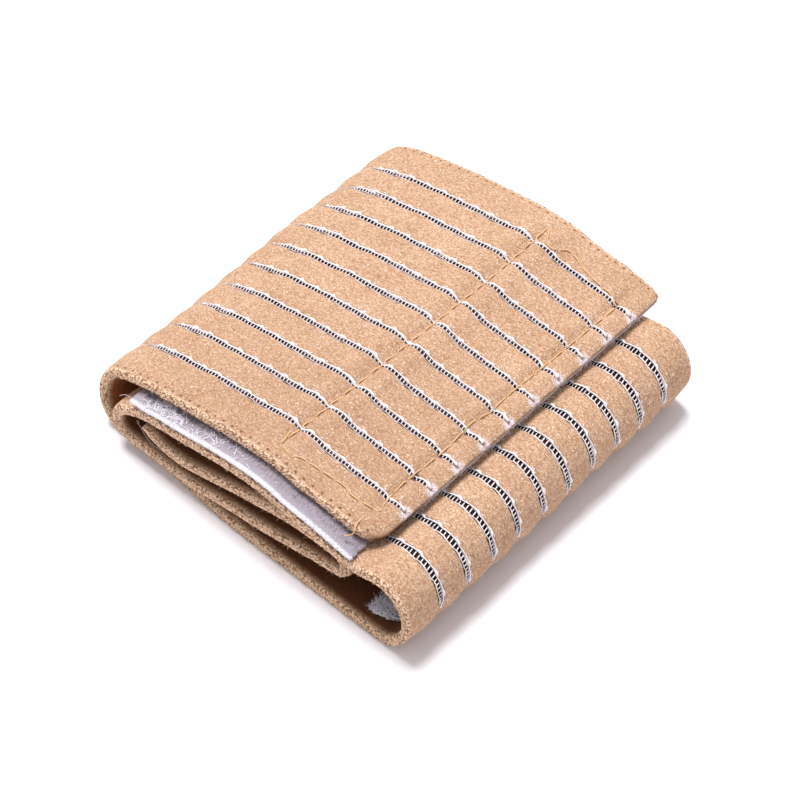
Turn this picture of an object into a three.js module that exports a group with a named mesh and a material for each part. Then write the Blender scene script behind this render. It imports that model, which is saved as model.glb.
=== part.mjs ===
// A wrist wrap: one knitted elastic band folded in five layers into a flat packet,
// a hook patch sewn under the flap that closes it, and a fleece patch for the hooks
// on the inner face, seen in the open fold at the right.
// Millimetres, +Z up. X runs from the left folds to the right fold, Y from the front
// selvedge to the back one, and the origin is the middle of the packet's underside.

import * as THREE from 'three';

// The band
const BAND_WIDTH = 75;
const CLOTH = 2.2;            // thickness of the knit on the crest of a rib
const RIB_RELIEF = 0.25;      // how far each face dips at an openwork stripe
const STRIPES = 10;
const STRIPE_WIDTH = 2.4;
const SELVEDGE_MARGIN = 8.1;  // from a selvedge to the first stripe
const SELVEDGE_ROLL = 1.2;    // width over which the selvedge rounds off
const SELVEDGE_EDGE = 1.3;    // thickness left at its very edge

// The packet
const PACKET_LENGTH = 76.8;   // over the outer left fold and the right fold
const LEAST_GAP = 0.35;       // air between layers that lie on each other
const LOFT = 6;               // the springiness of the folds: what the openings below are shares of
const LEFT_FOLD_ROOM = 3.5;   // from the outer left fold to the one inside it
const TUNNEL = 12.7;          // from the nose of the core to the right fold around it
const CORE_END_ROOM = 6;      // from the inner left fold to the band's hidden end
const FLAP_SHORTFALL = 11.6;  // how far the flap ends before the right fold
const FRONT_CORNER = 4;       // radius of the flap's front corner
const BACK_CORNER = 1.5;      // and of its back corner, which is sharper
const FLAP_DROOP = 0.8;       // how far the flap's end sinks past the hook patch
const FLAP_SETBACK = 2.5;     // how far the outer left fold has slipped behind the front
const FLAP_TURN = 1.2;        // degrees that the flap swings backwards towards its end
const CORE_SETBACK = 1.2;     // how far the nose of the core has slipped behind the front
const BACK_DRAW = 1.7;        // how much shorter the right fold reaches at the back
const BACK_SINK = 0.7;        // how much lower it stands there

// The two patches
const HOOK_LENGTH = 52.3;
const HOOK_WIDTH = 76.4;
const HOOK_THICKNESS = 0.8;
const HOOK_INSET = 1.8;       // from the flap's end to the patch's end
const LOOP_LENGTH = 30;
const LOOP_MARGIN = 2.7;      // bare band left along each selvedge
const LOOP_THICKNESS = 1;

// Faceting
const STEP = 6;               // longest facet along the band
const TURN = THREE.MathUtils.degToRad(18);
const SAMPLE = 0.25;          // spacing at which the band's heading is read

const HALF = PACKET_LENGTH / 2;
const CENTRE_LEFT = -HALF + CLOTH / 2;
const CENTRE_RIGHT = HALF - CLOTH / 2;
const FLAP_END = HALF - FLAP_SHORTFALL;
const HOOK_END = FLAP_END - HOOK_INSET;
const HOOK_ROOM = HOOK_THICKNESS + 2 * LEAST_GAP;

// How far the layers stand apart along the packet. at is a share of half the packet's
// length, and each opening is a share of the loft, on top of the least gap.
const OPENINGS = [
  { at: -0.65, underTurn: 0.00, underCore: 0.66, underWrap: 0.00, underFlap: 0.22 },
  { at: -0.52, underTurn: 0.00, underCore: 0.34, underWrap: 0.52, underFlap: 0.13 },
  { at: -0.42, underTurn: 0.00, underCore: 0.27, underWrap: 0.68, underFlap: 0.17 },
  { at: -0.33, underTurn: 0.01, underCore: 0.39, underWrap: 0.66, underFlap: 0.12 },
  { at: -0.22, underTurn: 0.16, underCore: 0.41, underWrap: 0.64, underFlap: 0.08 },
  { at: -0.10, underTurn: 0.31, underCore: 0.53, underWrap: 0.49, underFlap: 0.05 },
  { at: 0.00, underTurn: 0.43, underCore: 0.54, underWrap: 0.43, underFlap: 0.02 },
  { at: 0.13, underTurn: 0.49, underCore: 0.68, underWrap: 0.26, underFlap: 0.00 },
  { at: 0.26, underTurn: 0.58, underCore: 0.68, underWrap: 0.00, underFlap: 0.00 },
  { at: 0.39, underTurn: 0.66, underCore: 0.54, underWrap: 0.00, underFlap: 0.00 },
  { at: 0.52, underTurn: 0.72, underCore: 0.38, underWrap: 0.00, underFlap: 0.00 },
  { at: 0.64, underTurn: 0.72, underCore: 0.22, underWrap: 0.00, underFlap: 0.00 },
  { at: 0.78, underTurn: 0.72, underCore: 0.44, underWrap: 0.00, underFlap: 0.00 },
];

// The side view of each fold, between the two layers that it joins. out is a share of
// its reach beyond them, and up is a share of the height from the lower to the upper.
const OUTER_LEFT_FOLD = [
  { out: 0.25, up: 0.945 },
  { out: 0.53, up: 0.875 },
  { out: 0.75, up: 0.78 },
  { out: 0.91, up: 0.62 },
  { out: 0.99, up: 0.45 },
  { out: 1.00, up: 0.31 },
  { out: 0.96, up: 0.17 },
  { out: 0.84, up: 0.05 },
  { out: 0.65, up: 0.00 },
];
const RIGHT_FOLD = [
  { out: 0.38, up: 0.02 },
  { out: 0.71, up: 0.15 },
  { out: 0.94, up: 0.36 },
  { out: 1.00, up: 0.57 },
  { out: 0.90, up: 0.78 },
  { out: 0.63, up: 0.94 },
  { out: 0.30, up: 1.01 },
];
const INNER_LEFT_FOLD = [
  { out: 0.39, up: 0.86 },
  { out: 0.76, up: 0.69 },
  { out: 0.97, up: 0.47 },
  { out: 1.00, up: 0.29 },
  { out: 0.92, up: 0.14 },
  { out: 0.70, up: 0.03 },
  { out: 0.33, up: 0.00 },
];
const CORE_NOSE = [
  { out: 0.71, up: 0.15 },
  { out: 1.00, up: 0.50 },
  { out: 0.71, up: 0.85 },
];

// The opening of a column of the table at x, smoothed between its rows.
function opening(column, x) {
  const at = THREE.MathUtils.clamp(x / HALF, OPENINGS[0].at, OPENINGS.at(-1).at);
  const upper = Math.max(1, OPENINGS.findIndex((row) => row.at >= at));
  const [low, high] = [OPENINGS[upper - 1], OPENINGS[upper]];
  const share = THREE.MathUtils.mapLinear(at, low.at, high.at, 0, 1);
  return THREE.MathUtils.lerp(low[column], high[column], share) * LOFT;
}

// Heights of the middle of each layer above the surface that the packet lies on.
const groundHeight = () => CLOTH / 2;
const turnHeight = (x) => groundHeight() + CLOTH + LEAST_GAP + opening('underTurn', x);
const coreHeight = (x) => turnHeight(x) + CLOTH + LEAST_GAP + opening('underCore', x);
const wrapHeight = (x) => coreHeight(x) + CLOTH + LEAST_GAP + opening('underWrap', x);
const droop = (x) => FLAP_DROOP * THREE.MathUtils.smoothstep(x, HOOK_END, FLAP_END);
const flapHeight = (x) => wrapHeight(x) + CLOTH + HOOK_ROOM + opening('underFlap', x) - droop(x);

// Evenly spaced points of one layer, both ends included.
function layer(height, fromX, toX, count, setback) {
  return Array.from({ length: count }, (_, i) => {
    const x = THREE.MathUtils.lerp(fromX, toX, i / (count - 1));
    return new THREE.Vector3(x, setback(x), height(x));
  });
}

// Points of a fold between the end of one layer and the start of the next.
function fold(start, end, reachX, rows) {
  const [low, high] = start.z < end.z ? [start, end] : [end, start];
  return rows.map(({ out, up }) => {
    const baseX = THREE.MathUtils.lerp(low.x, high.x, up);
    return new THREE.Vector3(
      THREE.MathUtils.lerp(baseX, reachX, out),
      THREE.MathUtils.lerp(low.y, high.y, up),
      THREE.MathUtils.lerp(low.z, high.z, up),
    );
  });
}

// The band's middle line as it lies folded, from the flap's end to the hidden end.
// y holds how far the front selvedge is set back there.
function bandRoute() {
  const foldStart = OPENINGS[0].at * HALF;
  const tunnelStart = OPENINGS.at(-1).at * HALF;
  const innerLeft = CENTRE_LEFT + CLOTH + LEFT_FOLD_ROOM;
  const coreNose = CENTRE_RIGHT - CLOTH - TUNNEL;
  const noseReach = (coreHeight(coreNose) - turnHeight(coreNose)) / 2;
  const coreEnd = innerLeft + CLOTH / 2 + CORE_END_ROOM;
  const swing = Math.tan(THREE.MathUtils.degToRad(FLAP_TURN));

  const none = () => 0;
  const flapSlip = (x) => FLAP_SETBACK + (x + HALF) * swing;
  const groundSlip = (x) => FLAP_SETBACK * (1 - THREE.MathUtils.smoothstep(x, -HALF, 0));
  const coreSlip = (x) => CORE_SETBACK * THREE.MathUtils.smoothstep(x, 0, coreNose);

  const flap = layer(flapHeight, FLAP_END, foldStart, 13, flapSlip);
  const ground = layer(groundHeight, foldStart, tunnelStart, 9, groundSlip);
  const wrap = layer(wrapHeight, tunnelStart, foldStart, 13, none);
  const turn = layer(turnHeight, foldStart, coreNose - noseReach, 11, coreSlip);
  const core = layer(coreHeight, coreNose - noseReach, coreEnd, 11, coreSlip);

  return new THREE.CatmullRomCurve3([
    ...flap,
    ...fold(flap.at(-1), ground[0], CENTRE_LEFT, OUTER_LEFT_FOLD),
    ...ground,
    ...fold(ground.at(-1), wrap[0], CENTRE_RIGHT, RIGHT_FOLD),
    ...wrap,
    ...fold(wrap.at(-1), turn[0], innerLeft, INNER_LEFT_FOLD),
    ...turn,
    ...fold(turn.at(-1), core[0], coreNose, CORE_NOSE),
    ...core,
  ]);
}

// Distances along a curve for its facets: closer together where it turns.
function facetStops(curve, from, to) {
  const count = Math.ceil((to - from) / SAMPLE);
  const total = curve.getLength();
  const stops = [from];
  let heading = curve.getTangentAt(from / total);
  for (let i = 1; i < count; i += 1) {
    const s = THREE.MathUtils.lerp(from, to, i / count);
    const tangent = curve.getTangentAt(s / total);
    const long = s - stops.at(-1) > STEP;
    if ((long || tangent.angleTo(heading) > TURN) && to - s > STEP / 3) {
      stops.push(s);
      heading = tangent;
    }
  }
  return [...stops, to];
}

// The packet is a little shorter and lower at the back of the right fold.
function drawIn(point, across) {
  const ramp = THREE.MathUtils.smoothstep(point.x, 0, HALF) * across;
  point.x -= BACK_DRAW * ramp;
  point.z *= 1 - (BACK_SINK / wrapHeight(HALF)) * ramp;
  return point;
}

// A closed sheet along a curve in the side view. Each stop and each column give the
// middle point, and half the thickness lies on each side of it.
function sheet(curve, stops, columns, { reach = (s) => s, half, frontY, offset = 0 }) {
  const total = curve.getLength();
  const rows = stops.length;
  const positions = [];
  for (const side of [1, -1]) {
    stops.forEach((stop) => {
      columns.forEach((across) => {
        const u = reach(stop, across) / total;
        const middle = curve.getPointAt(u);
        const tangent = curve.getTangentAt(u);
        const normal = new THREE.Vector3(tangent.z, 0, -tangent.x).normalize();
        const point = new THREE.Vector3(middle.x, 0, middle.z);
        point.addScaledVector(normal, offset + side * half(across));
        drawIn(point, across / BAND_WIDTH);
        positions.push(point.x, frontY + middle.y + across, point.z);
      });
    });
  }

  const width = columns.length;
  const at = (side, row, column) => side * rows * width + row * width + column;
  const faces = [];
  const quad = (a, b, c, d) => faces.push(a, b, c, a, c, d);
  for (let r = 0; r < rows - 1; r += 1) {
    for (let c = 0; c < width - 1; c += 1) {
      quad(at(0, r, c), at(0, r, c + 1), at(0, r + 1, c + 1), at(0, r + 1, c));
      quad(at(1, r, c), at(1, r + 1, c), at(1, r + 1, c + 1), at(1, r, c + 1));
    }
    quad(at(0, r, 0), at(0, r + 1, 0), at(1, r + 1, 0), at(1, r, 0));
    quad(at(0, r, width - 1), at(1, r, width - 1), at(1, r + 1, width - 1), at(0, r + 1, width - 1));
  }
  for (let c = 0; c < width - 1; c += 1) {
    quad(at(0, 0, c), at(1, 0, c), at(1, 0, c + 1), at(0, 0, c + 1));
    quad(at(0, rows - 1, c), at(0, rows - 1, c + 1), at(1, rows - 1, c + 1), at(1, rows - 1, c));
  }

  const geometry = new THREE.BufferGeometry();
  geometry.setAttribute('position', new THREE.Float32BufferAttribute(positions, 3));
  geometry.setIndex(faces);
  geometry.computeVertexNormals();
  return geometry;
}

// The band: ribs between openwork stripes, rounded selvedges and rounded flap corners.
function bandGeometry(route) {
  const pitch = (BAND_WIDTH - 2 * SELVEDGE_MARGIN) / (STRIPES - 1);
  const stripes = Array.from({ length: STRIPES }, (_, i) => SELVEDGE_MARGIN + i * pitch);
  const columns = [
    0,
    SELVEDGE_ROLL,
    FRONT_CORNER,
    ...stripes.flatMap((centre) => [-1, 0, 1].map((side) => centre + side * STRIPE_WIDTH / 2)),
    BAND_WIDTH - SELVEDGE_ROLL,
    BAND_WIDTH,
  ];

  const half = (across) => {
    if (across === 0 || across === BAND_WIDTH) return SELVEDGE_EDGE / 2;
    return stripes.includes(across) ? CLOTH / 2 - RIB_RELIEF : CLOTH / 2;
  };
  // Near the flap's end the outermost columns are drawn back round the corner.
  const blend = 6 * FRONT_CORNER;
  const reach = (stop, across) => {
    const atFront = across < BAND_WIDTH / 2;
    const radius = atFront ? FRONT_CORNER : BACK_CORNER;
    const inward = Math.max(0, radius - (atFront ? across : BAND_WIDTH - across));
    const corner = radius - Math.sqrt(radius ** 2 - inward ** 2);
    return stop + corner * Math.max(0, 1 - stop / blend);
  };
  const stops = facetStops(route, 0, route.getLength());
  return sheet(route, stops, columns, { reach, half, frontY: -BAND_WIDTH / 2 });
}

// The hook patch lies between the flap and the layer under it, and is sewn to the flap.
function hookGeometry() {
  const height = (x) => wrapHeight(x) + CLOTH / 2 + LEAST_GAP + HOOK_THICKNESS / 2;
  const line = new THREE.CatmullRomCurve3(layer(height, HOOK_END, HOOK_END - HOOK_LENGTH, 15, () => 0));
  const stops = facetStops(line, 0, line.getLength());
  const columns = [0, 0.5, 1].map((share) => share * HOOK_WIDTH);
  const half = () => HOOK_THICKNESS / 2;
  return sheet(line, stops, columns, { half, frontY: -BAND_WIDTH / 2 });
}

// The fleece patch lines the inner face of the right fold.
function loopGeometry(route) {
  const total = route.getLength();
  const samples = route.getSpacedPoints(Math.ceil(total));
  const foldAt = samples.reduce((best, point, i) => (point.x > samples[best].x ? i : best), 0);
  const middle = (foldAt / (samples.length - 1)) * total;
  const stops = facetStops(route, middle - LOOP_LENGTH / 2, middle + LOOP_LENGTH / 2);
  const columns = [0, 0.5, 1].map((share) => share * (BAND_WIDTH - 2 * LOOP_MARGIN));
  const offset = -(CLOTH + LOOP_THICKNESS) / 2 - LEAST_GAP;
  const half = () => LOOP_THICKNESS / 2;
  return sheet(route, stops, columns, { half, frontY: -BAND_WIDTH / 2 + LOOP_MARGIN, offset });
}

function part(name, geometry, colour, roughness) {
  const material = new THREE.MeshStandardMaterial({ color: colour, roughness, metalness: 0 });
  const mesh = new THREE.Mesh(geometry, material);
  mesh.name = name;
  return mesh;
}

const route = bandRoute();
route.arcLengthDivisions = 2000;

const wrap = new THREE.Group();
wrap.add(part('wrap_band', bandGeometry(route), 0xd9b48c, 0.95));
wrap.add(part('hook_patch', hookGeometry(), 0xe9e6ee, 0.6));
wrap.add(part('loop_patch', loopGeometry(route), 0xe4e2ea, 1));

// The origin goes under the middle of the packet, on the surface that it lies on.
const box = new THREE.Box3().setFromObject(wrap);
const middle = box.getCenter(new THREE.Vector3());
wrap.position.set(-middle.x, -middle.y, -box.min.z);

export default wrap;
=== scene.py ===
import math

import bmesh
import bpy
import numpy as np
from mathutils import Matrix, Vector


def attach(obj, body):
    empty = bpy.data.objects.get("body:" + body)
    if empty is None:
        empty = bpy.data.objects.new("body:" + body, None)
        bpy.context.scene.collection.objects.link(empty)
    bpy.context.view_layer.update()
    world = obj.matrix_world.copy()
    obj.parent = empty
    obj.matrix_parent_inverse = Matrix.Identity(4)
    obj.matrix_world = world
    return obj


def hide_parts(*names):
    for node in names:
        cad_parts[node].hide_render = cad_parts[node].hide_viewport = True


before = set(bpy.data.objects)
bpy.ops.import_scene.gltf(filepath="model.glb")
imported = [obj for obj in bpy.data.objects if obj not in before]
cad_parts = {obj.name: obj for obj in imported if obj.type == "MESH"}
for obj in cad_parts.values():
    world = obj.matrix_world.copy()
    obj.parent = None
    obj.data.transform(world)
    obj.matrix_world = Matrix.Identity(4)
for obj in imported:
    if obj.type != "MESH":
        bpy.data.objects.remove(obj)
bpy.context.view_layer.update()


# The knitted band: one strip of tan elastic knit with ten openwork stripes, folded in
# five layers. It is modelled flat, in millimetres along, across and above its middle,
# and the fold then lays it into the packet, with every thread that runs on it.
WIDTH = 75.0
CLOTH = 2.2              # thickness of the knit on the crest of a rib
PACKET_LENGTH = 76.8     # over the outer left fold and the right fold
LEAST_GAP = 0.35         # air between layers that lie on each other
LOFT = 6.0               # what the openings below are shares of
LEFT_FOLD_ROOM = 3.5     # from the outer left fold to the one inside it
TUNNEL = 12.7            # from the nose of the core to the right fold around it
CORE_END_ROOM = 6.0      # from the inner left fold to the band's hidden end
CORE_SETBACK = 1.2       # how far the nose of the core has slipped behind the front
FLAP_SHORTFALL = 11.6    # how far the flap ends before the right fold
FLAP_DROOP = 0.8         # how far the flap's end sinks past the hook patch
FLAP_SETBACK = 2.5       # how far the outer left fold has slipped behind the front
FLAP_TURN = 1.2          # degrees that the flap swings backwards towards its end
FRONT_CORNER = 4.0       # radius of the flap's front corner
BACK_CORNER = 1.5        # and of its back corner, which is sharper
CORNER_FADE = 24.0       # how far behind its end the flap's cloth is drawn by its corners
HOOK_THICKNESS = 0.8
HOOK_INSET = 1.8         # from the flap's end to the hook patch's end
BACK_DRAW = 1.7          # how much shorter the right fold reaches at the back
BACK_SINK = 0.7          # and how much lower it stands there
BACK_SWELL = 1.5         # how much further the left folds reach at the back
BACK_TUCK = 0.8          # and how far their back selvedge is drawn forwards
PLACE = Vector((0.06, -1.914, 0.039))   # of the fold's own origin in the part's frame

HALF = PACKET_LENGTH / 2
FLAP_END = HALF - FLAP_SHORTFALL
HOOK_END = FLAP_END - HOOK_INSET
LEFT = -HALF + CLOTH / 2
RIGHT = HALF - CLOTH / 2
INNER_LEFT = LEFT + CLOTH + LEFT_FOLD_ROOM
NOSE = RIGHT - CLOTH - TUNNEL

# Openings between the layers along half the packet: at, under turn, core, wrap and flap
OPENINGS = np.array((
    (-0.65, 0.00, 0.66, 0.00, 0.22), (-0.52, 0.00, 0.34, 0.52, 0.13),
    (-0.42, 0.00, 0.27, 0.68, 0.17), (-0.33, 0.01, 0.39, 0.66, 0.12),
    (-0.22, 0.16, 0.41, 0.64, 0.08), (-0.10, 0.31, 0.53, 0.49, 0.05),
    (0.00, 0.43, 0.54, 0.43, 0.02), (0.13, 0.49, 0.68, 0.26, 0.00),
    (0.26, 0.58, 0.68, 0.00, 0.00), (0.39, 0.66, 0.54, 0.00, 0.00),
    (0.52, 0.72, 0.38, 0.00, 0.00), (0.64, 0.72, 0.22, 0.00, 0.00),
    (0.78, 0.72, 0.44, 0.00, 0.00)))

# The side views of the folds: reach outwards, and height from the lower layer up
OUTER_LEFT_FOLD = ((0.25, 0.945), (0.53, 0.875), (0.75, 0.78), (0.91, 0.62), (0.99, 0.45),
                   (1.00, 0.31), (0.96, 0.17), (0.84, 0.05), (0.65, 0.00))
RIGHT_FOLD = ((0.38, 0.02), (0.71, 0.15), (0.94, 0.36), (1.00, 0.57), (0.90, 0.78),
              (0.63, 0.94), (0.30, 1.01))
INNER_LEFT_FOLD = ((0.39, 0.86), (0.76, 0.69), (0.97, 0.47), (1.00, 0.29), (0.92, 0.14),
                   (0.70, 0.03), (0.33, 0.00))
CORE_NOSE = ((0.71, 0.15), (1.00, 0.50), (0.71, 0.85))


class Tone:
    """A socket of a finish, so that its pattern is written as arithmetic."""

    def __init__(self, finish, socket):
        self.finish, self.socket = finish, socket

    def output(self, name):
        """Another output of the same node."""
        return Tone(self.finish, self.socket.node.outputs[name])

    def math(self, operation, *others):
        return self.finish.calculate(operation, self, *others)

    def __add__(self, other):
        return self.math("ADD", other)

    def __sub__(self, other):
        return self.math("SUBTRACT", other)

    def __rsub__(self, other):
        return self.finish.calculate("SUBTRACT", other, self)

    def __mul__(self, other):
        return self.math("MULTIPLY", other)

    def __truediv__(self, other):
        return self.math("DIVIDE", other)

    __radd__, __rmul__ = __add__, __mul__

    def clear(self, start, end):
        """0 before start, 1 past end and smooth between."""
        return self.finish.node("ShaderNodeMapRange", {"interpolation_type": "SMOOTHSTEP"},
                                {"Value": self, "From Min": start, "From Max": end})


class Finish:
    """A material under a plain name, built from its nodes."""

    def __init__(self, name, **constants):
        self.material = bpy.data.materials.new(name)
        self.material.use_nodes = True
        self.tree = self.material.node_tree
        self.shader = self.tree.nodes["Principled BSDF"]
        for socket, value in constants.items():
            self.shader.inputs[socket.replace("_", " ")].default_value = value

    def node(self, kind, settings, values, output=0):
        node = self.tree.nodes.new(kind)
        for key, value in settings.items():
            if key == "stops":
                while len(node.color_ramp.elements) < len(value):
                    node.color_ramp.elements.new(0.5)
                for stop, (place, colour) in zip(node.color_ramp.elements, value):
                    stop.position, stop.color = place, (*colour, 1)
            else:
                setattr(node, key, value)
        for key, value in values.items():
            if isinstance(value, Tone):
                self.tree.links.new(value.socket, node.inputs[key])
            else:
                node.inputs[key].default_value = value
        return Tone(self, node.outputs[output])

    def calculate(self, operation, *values):
        return self.node("ShaderNodeMath", {"operation": operation}, dict(enumerate(values)))

    def cloth(self):
        """The place on the flat cloth, which each piece keeps as an attribute."""
        return self.node("ShaderNodeAttribute", {"attribute_name": "cloth"}, {}, "Vector")

    def parts(self, vector):
        split = self.node("ShaderNodeSeparateXYZ", {}, {0: vector})
        return [split.output(axis) for axis in "XYZ"]

    def noise(self, place, scale, detail=2.0, rough=0.5):
        return self.node("ShaderNodeTexNoise", {}, {"Vector": place, "Scale": scale, "Detail": detail,
                                                    "Roughness": rough})

    def stretched(self, place, sizes, offset=(0, 0, 0)):
        return self.node("ShaderNodeMapping", {}, {"Vector": place, "Scale": sizes, "Location": offset})

    def mix(self, share, first, second):
        """Two colours by their share; the mix node's colours are its inputs 6 and 7, output 2."""
        first, second = ((*c, 1) if isinstance(c, tuple) else c for c in (first, second))
        return self.node("ShaderNodeMix", {"data_type": "RGBA"}, {0: share, 6: first, 7: second}, 2)

    def finish(self, colour, height, distance, strength):
        self.tree.links.new(colour.socket, self.shader.inputs["Base Color"])
        bump = self.node("ShaderNodeBump", {}, {"Height": height, "Distance": distance, "Strength": strength})
        self.tree.links.new(bump.socket, self.shader.inputs["Normal"])
        return self.material


def ease(value, start, end):
    """0 before start, 1 past end and smooth between, for numbers and for a finish's tones."""
    if isinstance(value, Tone):
        return value.clear(start, end)
    share = np.clip((np.asarray(value, float) - start) / (end - start), 0, 1)
    return share * share * (3 - 2 * share)


def hill(value, middle, width):
    return np.exp(-((value - middle) / width) ** 2)


def sine(value):
    return value.math("SINE") if isinstance(value, Tone) else np.sin(value)


def opening(column, x):
    return float(np.interp(x / HALF, OPENINGS[:, 0], OPENINGS[:, column])) * LOFT


def ground_height(x):
    """The lowest layer's middle; the layers above it rise from it one by one."""
    return CLOTH / 2


def turn_height(x):
    return ground_height(x) + CLOTH + LEAST_GAP + opening(1, x)


def core_height(x):
    return turn_height(x) + CLOTH + LEAST_GAP + opening(2, x)


def wrap_height(x):
    return core_height(x) + CLOTH + LEAST_GAP + opening(3, x)


def flap_height(x):
    droop = FLAP_DROOP * float(ease(x, HOOK_END, FLAP_END))
    return wrap_height(x) + CLOTH + HOOK_THICKNESS + 2 * LEAST_GAP + opening(4, x) - droop


def layer(height, start, end, count, slip=lambda x: 0.0):
    """A layer's knots: x, how far it has slipped behind the front, and height."""
    return [(x, slip(x), height(x)) for x in np.linspace(start, end, count)]


def turned(start, end, reach, rows):
    """A fold's knots, from one layer's end round to the next one's, out to the reach."""
    low, high = (np.array(p) for p in sorted((start, end), key=lambda p: p[2]))
    knots = [low + (high - low) * up for _, up in rows]
    return [(x + (reach - x) * out, y, z) for (x, y, z), (out, _) in zip(knots, rows)]


def smooth_line(knots, steps=24):
    """A centripetal curve through all the knots."""
    knots = np.array(knots, float)
    ends = 2 * knots[:1] - knots[1:2], 2 * knots[-1:] - knots[-2:-1]
    padded = np.vstack((ends[0], knots, ends[1]))
    share = np.linspace(0, 1, steps, endpoint=False)[:, None]
    line = []
    for a, b, c, d in zip(padded, padded[1:], padded[2:], padded[3:]):
        before, span, after = (np.linalg.norm(q - p) ** 0.5 for p, q in ((a, b), (b, c), (c, d)))
        leave = ((b - a) / before - (c - a) / (before + span) + (c - b) / span) * span
        arrive = ((c - b) / span - (d - b) / (span + after) + (d - c) / after) * span
        line.append(b + leave * share + (3 * (c - b) - 2 * leave - arrive) * share ** 2
                    + (2 * (b - c) + leave + arrive) * share ** 3)
    return np.vstack((*line, knots[-1:]))


class Fold:
    """A strip's middle line as it lies in the packet: x, slip behind the front, height."""

    def __init__(self, knots):
        self.line = smooth_line(knots)
        steps = np.linalg.norm(np.diff(self.line, axis=0), axis=1)
        self.along = np.concatenate(([0], np.cumsum(steps)))
        heading = np.gradient(self.line[:, (0, 2)], self.along, axis=0)
        self.heading = heading / np.linalg.norm(heading, axis=1)[:, None]
        self.length = self.along[-1]

    def lay(self, flat):
        """Points on the flat strip, in millimetres, as metres in the part's frame."""
        along, across, above = np.asarray(flat, float).T
        x, slip, z = (np.interp(along, self.along, column) for column in self.line.T)
        over = along - np.clip(along, 0, self.length)
        head_x, head_z = (np.interp(along, self.along, column) for column in self.heading.T)
        x = x + head_x * over + head_z * above
        z = z + head_z * over - head_x * above
        ramp = ease(x, 0, HALF) * across / WIDTH
        x = x - BACK_DRAW * ramp
        z = z * (1 - BACK_SINK / wrap_height(HALF) * ramp)
        full = ease(-x, 10, HALF) * ease(across / WIDTH, 0.15, 0.75)
        y = slip + across - WIDTH / 2 - BACK_TUCK * full
        return (np.stack((x - BACK_SWELL * full, y, np.maximum(z, 0)), 1) + np.array(PLACE)) * 0.001


def packet_fold():
    """The whole band's fold: flap, ground, wrap, turn and core with the folds between."""
    start, tunnel = OPENINGS[0, 0] * HALF, OPENINGS[-1, 0] * HALF
    nose_reach = (core_height(NOSE) - turn_height(NOSE)) / 2
    swing = math.tan(math.radians(FLAP_TURN))

    def flap_slip(x):
        return FLAP_SETBACK + (x + HALF) * swing

    def ground_slip(x):
        return FLAP_SETBACK * (1 - float(ease(x, -HALF, 0)))

    def core_slip(x):
        return CORE_SETBACK * float(ease(x, 0, NOSE))

    flap = layer(flap_height, FLAP_END, start, 13, flap_slip)
    ground = layer(ground_height, start, tunnel, 9, ground_slip)
    wrap = layer(wrap_height, tunnel, start, 13)
    turn = layer(turn_height, start, NOSE - nose_reach, 11, core_slip)
    core = layer(core_height, NOSE - nose_reach, INNER_LEFT + CLOTH / 2 + CORE_END_ROOM, 11, core_slip)
    return Fold((*flap, *turned(flap[-1], ground[0], LEFT, OUTER_LEFT_FOLD),
                 *ground, *turned(ground[-1], wrap[0], RIGHT, RIGHT_FOLD),
                 *wrap, *turned(wrap[-1], turn[0], INNER_LEFT, INNER_LEFT_FOLD),
                 *turn, *turned(turn[-1], core[0], NOSE, CORE_NOSE), *core))


band_fold = packet_fold()

# How far along the band each fold reaches out furthest, to the millimetre
reach = np.interp(np.arange(0, band_fold.length), band_fold.along, band_fold.line[:, 0])
OUTER_FOLD_AT = int(np.argmin(reach[:150]))
RIGHT_FOLD_AT = 100 + int(np.argmax(reach[100:250]))
INNER_FOLD_AT = 180 + int(np.argmin(reach[180:]))

RIB_SWELL = 0.10         # how far the crest of a rib stands above the plain cloth
GROOVE_DEPTH = 0.55      # how far the cloth dips at a stripe
STRIPES = 10
MARGIN = 8.1             # from a selvedge to the middle of the first stripe
PITCH = (WIDTH - 2 * MARGIN) / (STRIPES - 1)
RUNG = 0.72              # from one rung of a stripe to the next
BURST = 5 * RUNG         # the length over which a stripe's holes grow wide
OUT_OF_STEP = 0.37       # share of a burst by which each stripe lags behind the last
FIRST_SEAM = 24.1        # how far behind the flap's end each line of sewing runs
END_SEAM = 4.4
stripe_lines = [MARGIN + i * PITCH for i in range(STRIPES)]


def stripe_wander(along):
    """How far a stripe's holes swing sideways along the band."""
    return 0.16 * sine(along * 0.31) + 0.08 * sine(along * 0.87 + 1)


def drawn_in(along):
    """1 where the ribs close over the stripes: at the back of the folds' turns."""
    left = ease(along, 56, 63) * (1 - ease(along, 67, 76))
    turn = RIGHT_FOLD_AT - 5.5
    return left + ease(along, turn - 6, turn - 2) * (1 - ease(along, turn + 2.0, turn + 6.0))


def stripe_openness(along):
    """How wide a stripe stands open, but for its sewing: most on top of the right fold."""
    wide = (0.70 + 0.40 * ease(along, 70, 135)) * (1 - 0.85 * drawn_in(along))
    on_top = ease(along, RIGHT_FOLD_AT - 3, RIGHT_FOLD_AT + 8)
    on_top = on_top * (1 - ease(along, RIGHT_FOLD_AT + 10, RIGHT_FOLD_AT + 22))
    return wide * (1 - 0.45 * (1 - on_top) * ease(along, 110, 135))


def stripe_spread(along):
    """How wide a stripe stands open, pinched by the sewing and closed at the flap's end."""
    pinch = 0.75 * hill(along, FIRST_SEAM, 1.2) + 0.6 * hill(along, END_SEAM, 0.8)
    return stripe_openness(along) * (1 - pinch) * (0.2 + 0.8 * ease(along, 0.6, 2.6))


def burst_share(along, stripe):
    """From 0 up to 1 along each burst of rungs, and then from 0 again."""
    share = stripe * OUT_OF_STEP - along / BURST
    return share.math("FRACT") if isinstance(share, Tone) else np.mod(share, 1.0)


def hole_growth(along, stripe):
    """Half the width of a hole in an open stripe, which grows through each burst."""
    share = burst_share(along, stripe)
    return 0.30 + 0.32 * (share * (1 - ease(share, 0.86, 1.0)))


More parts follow.
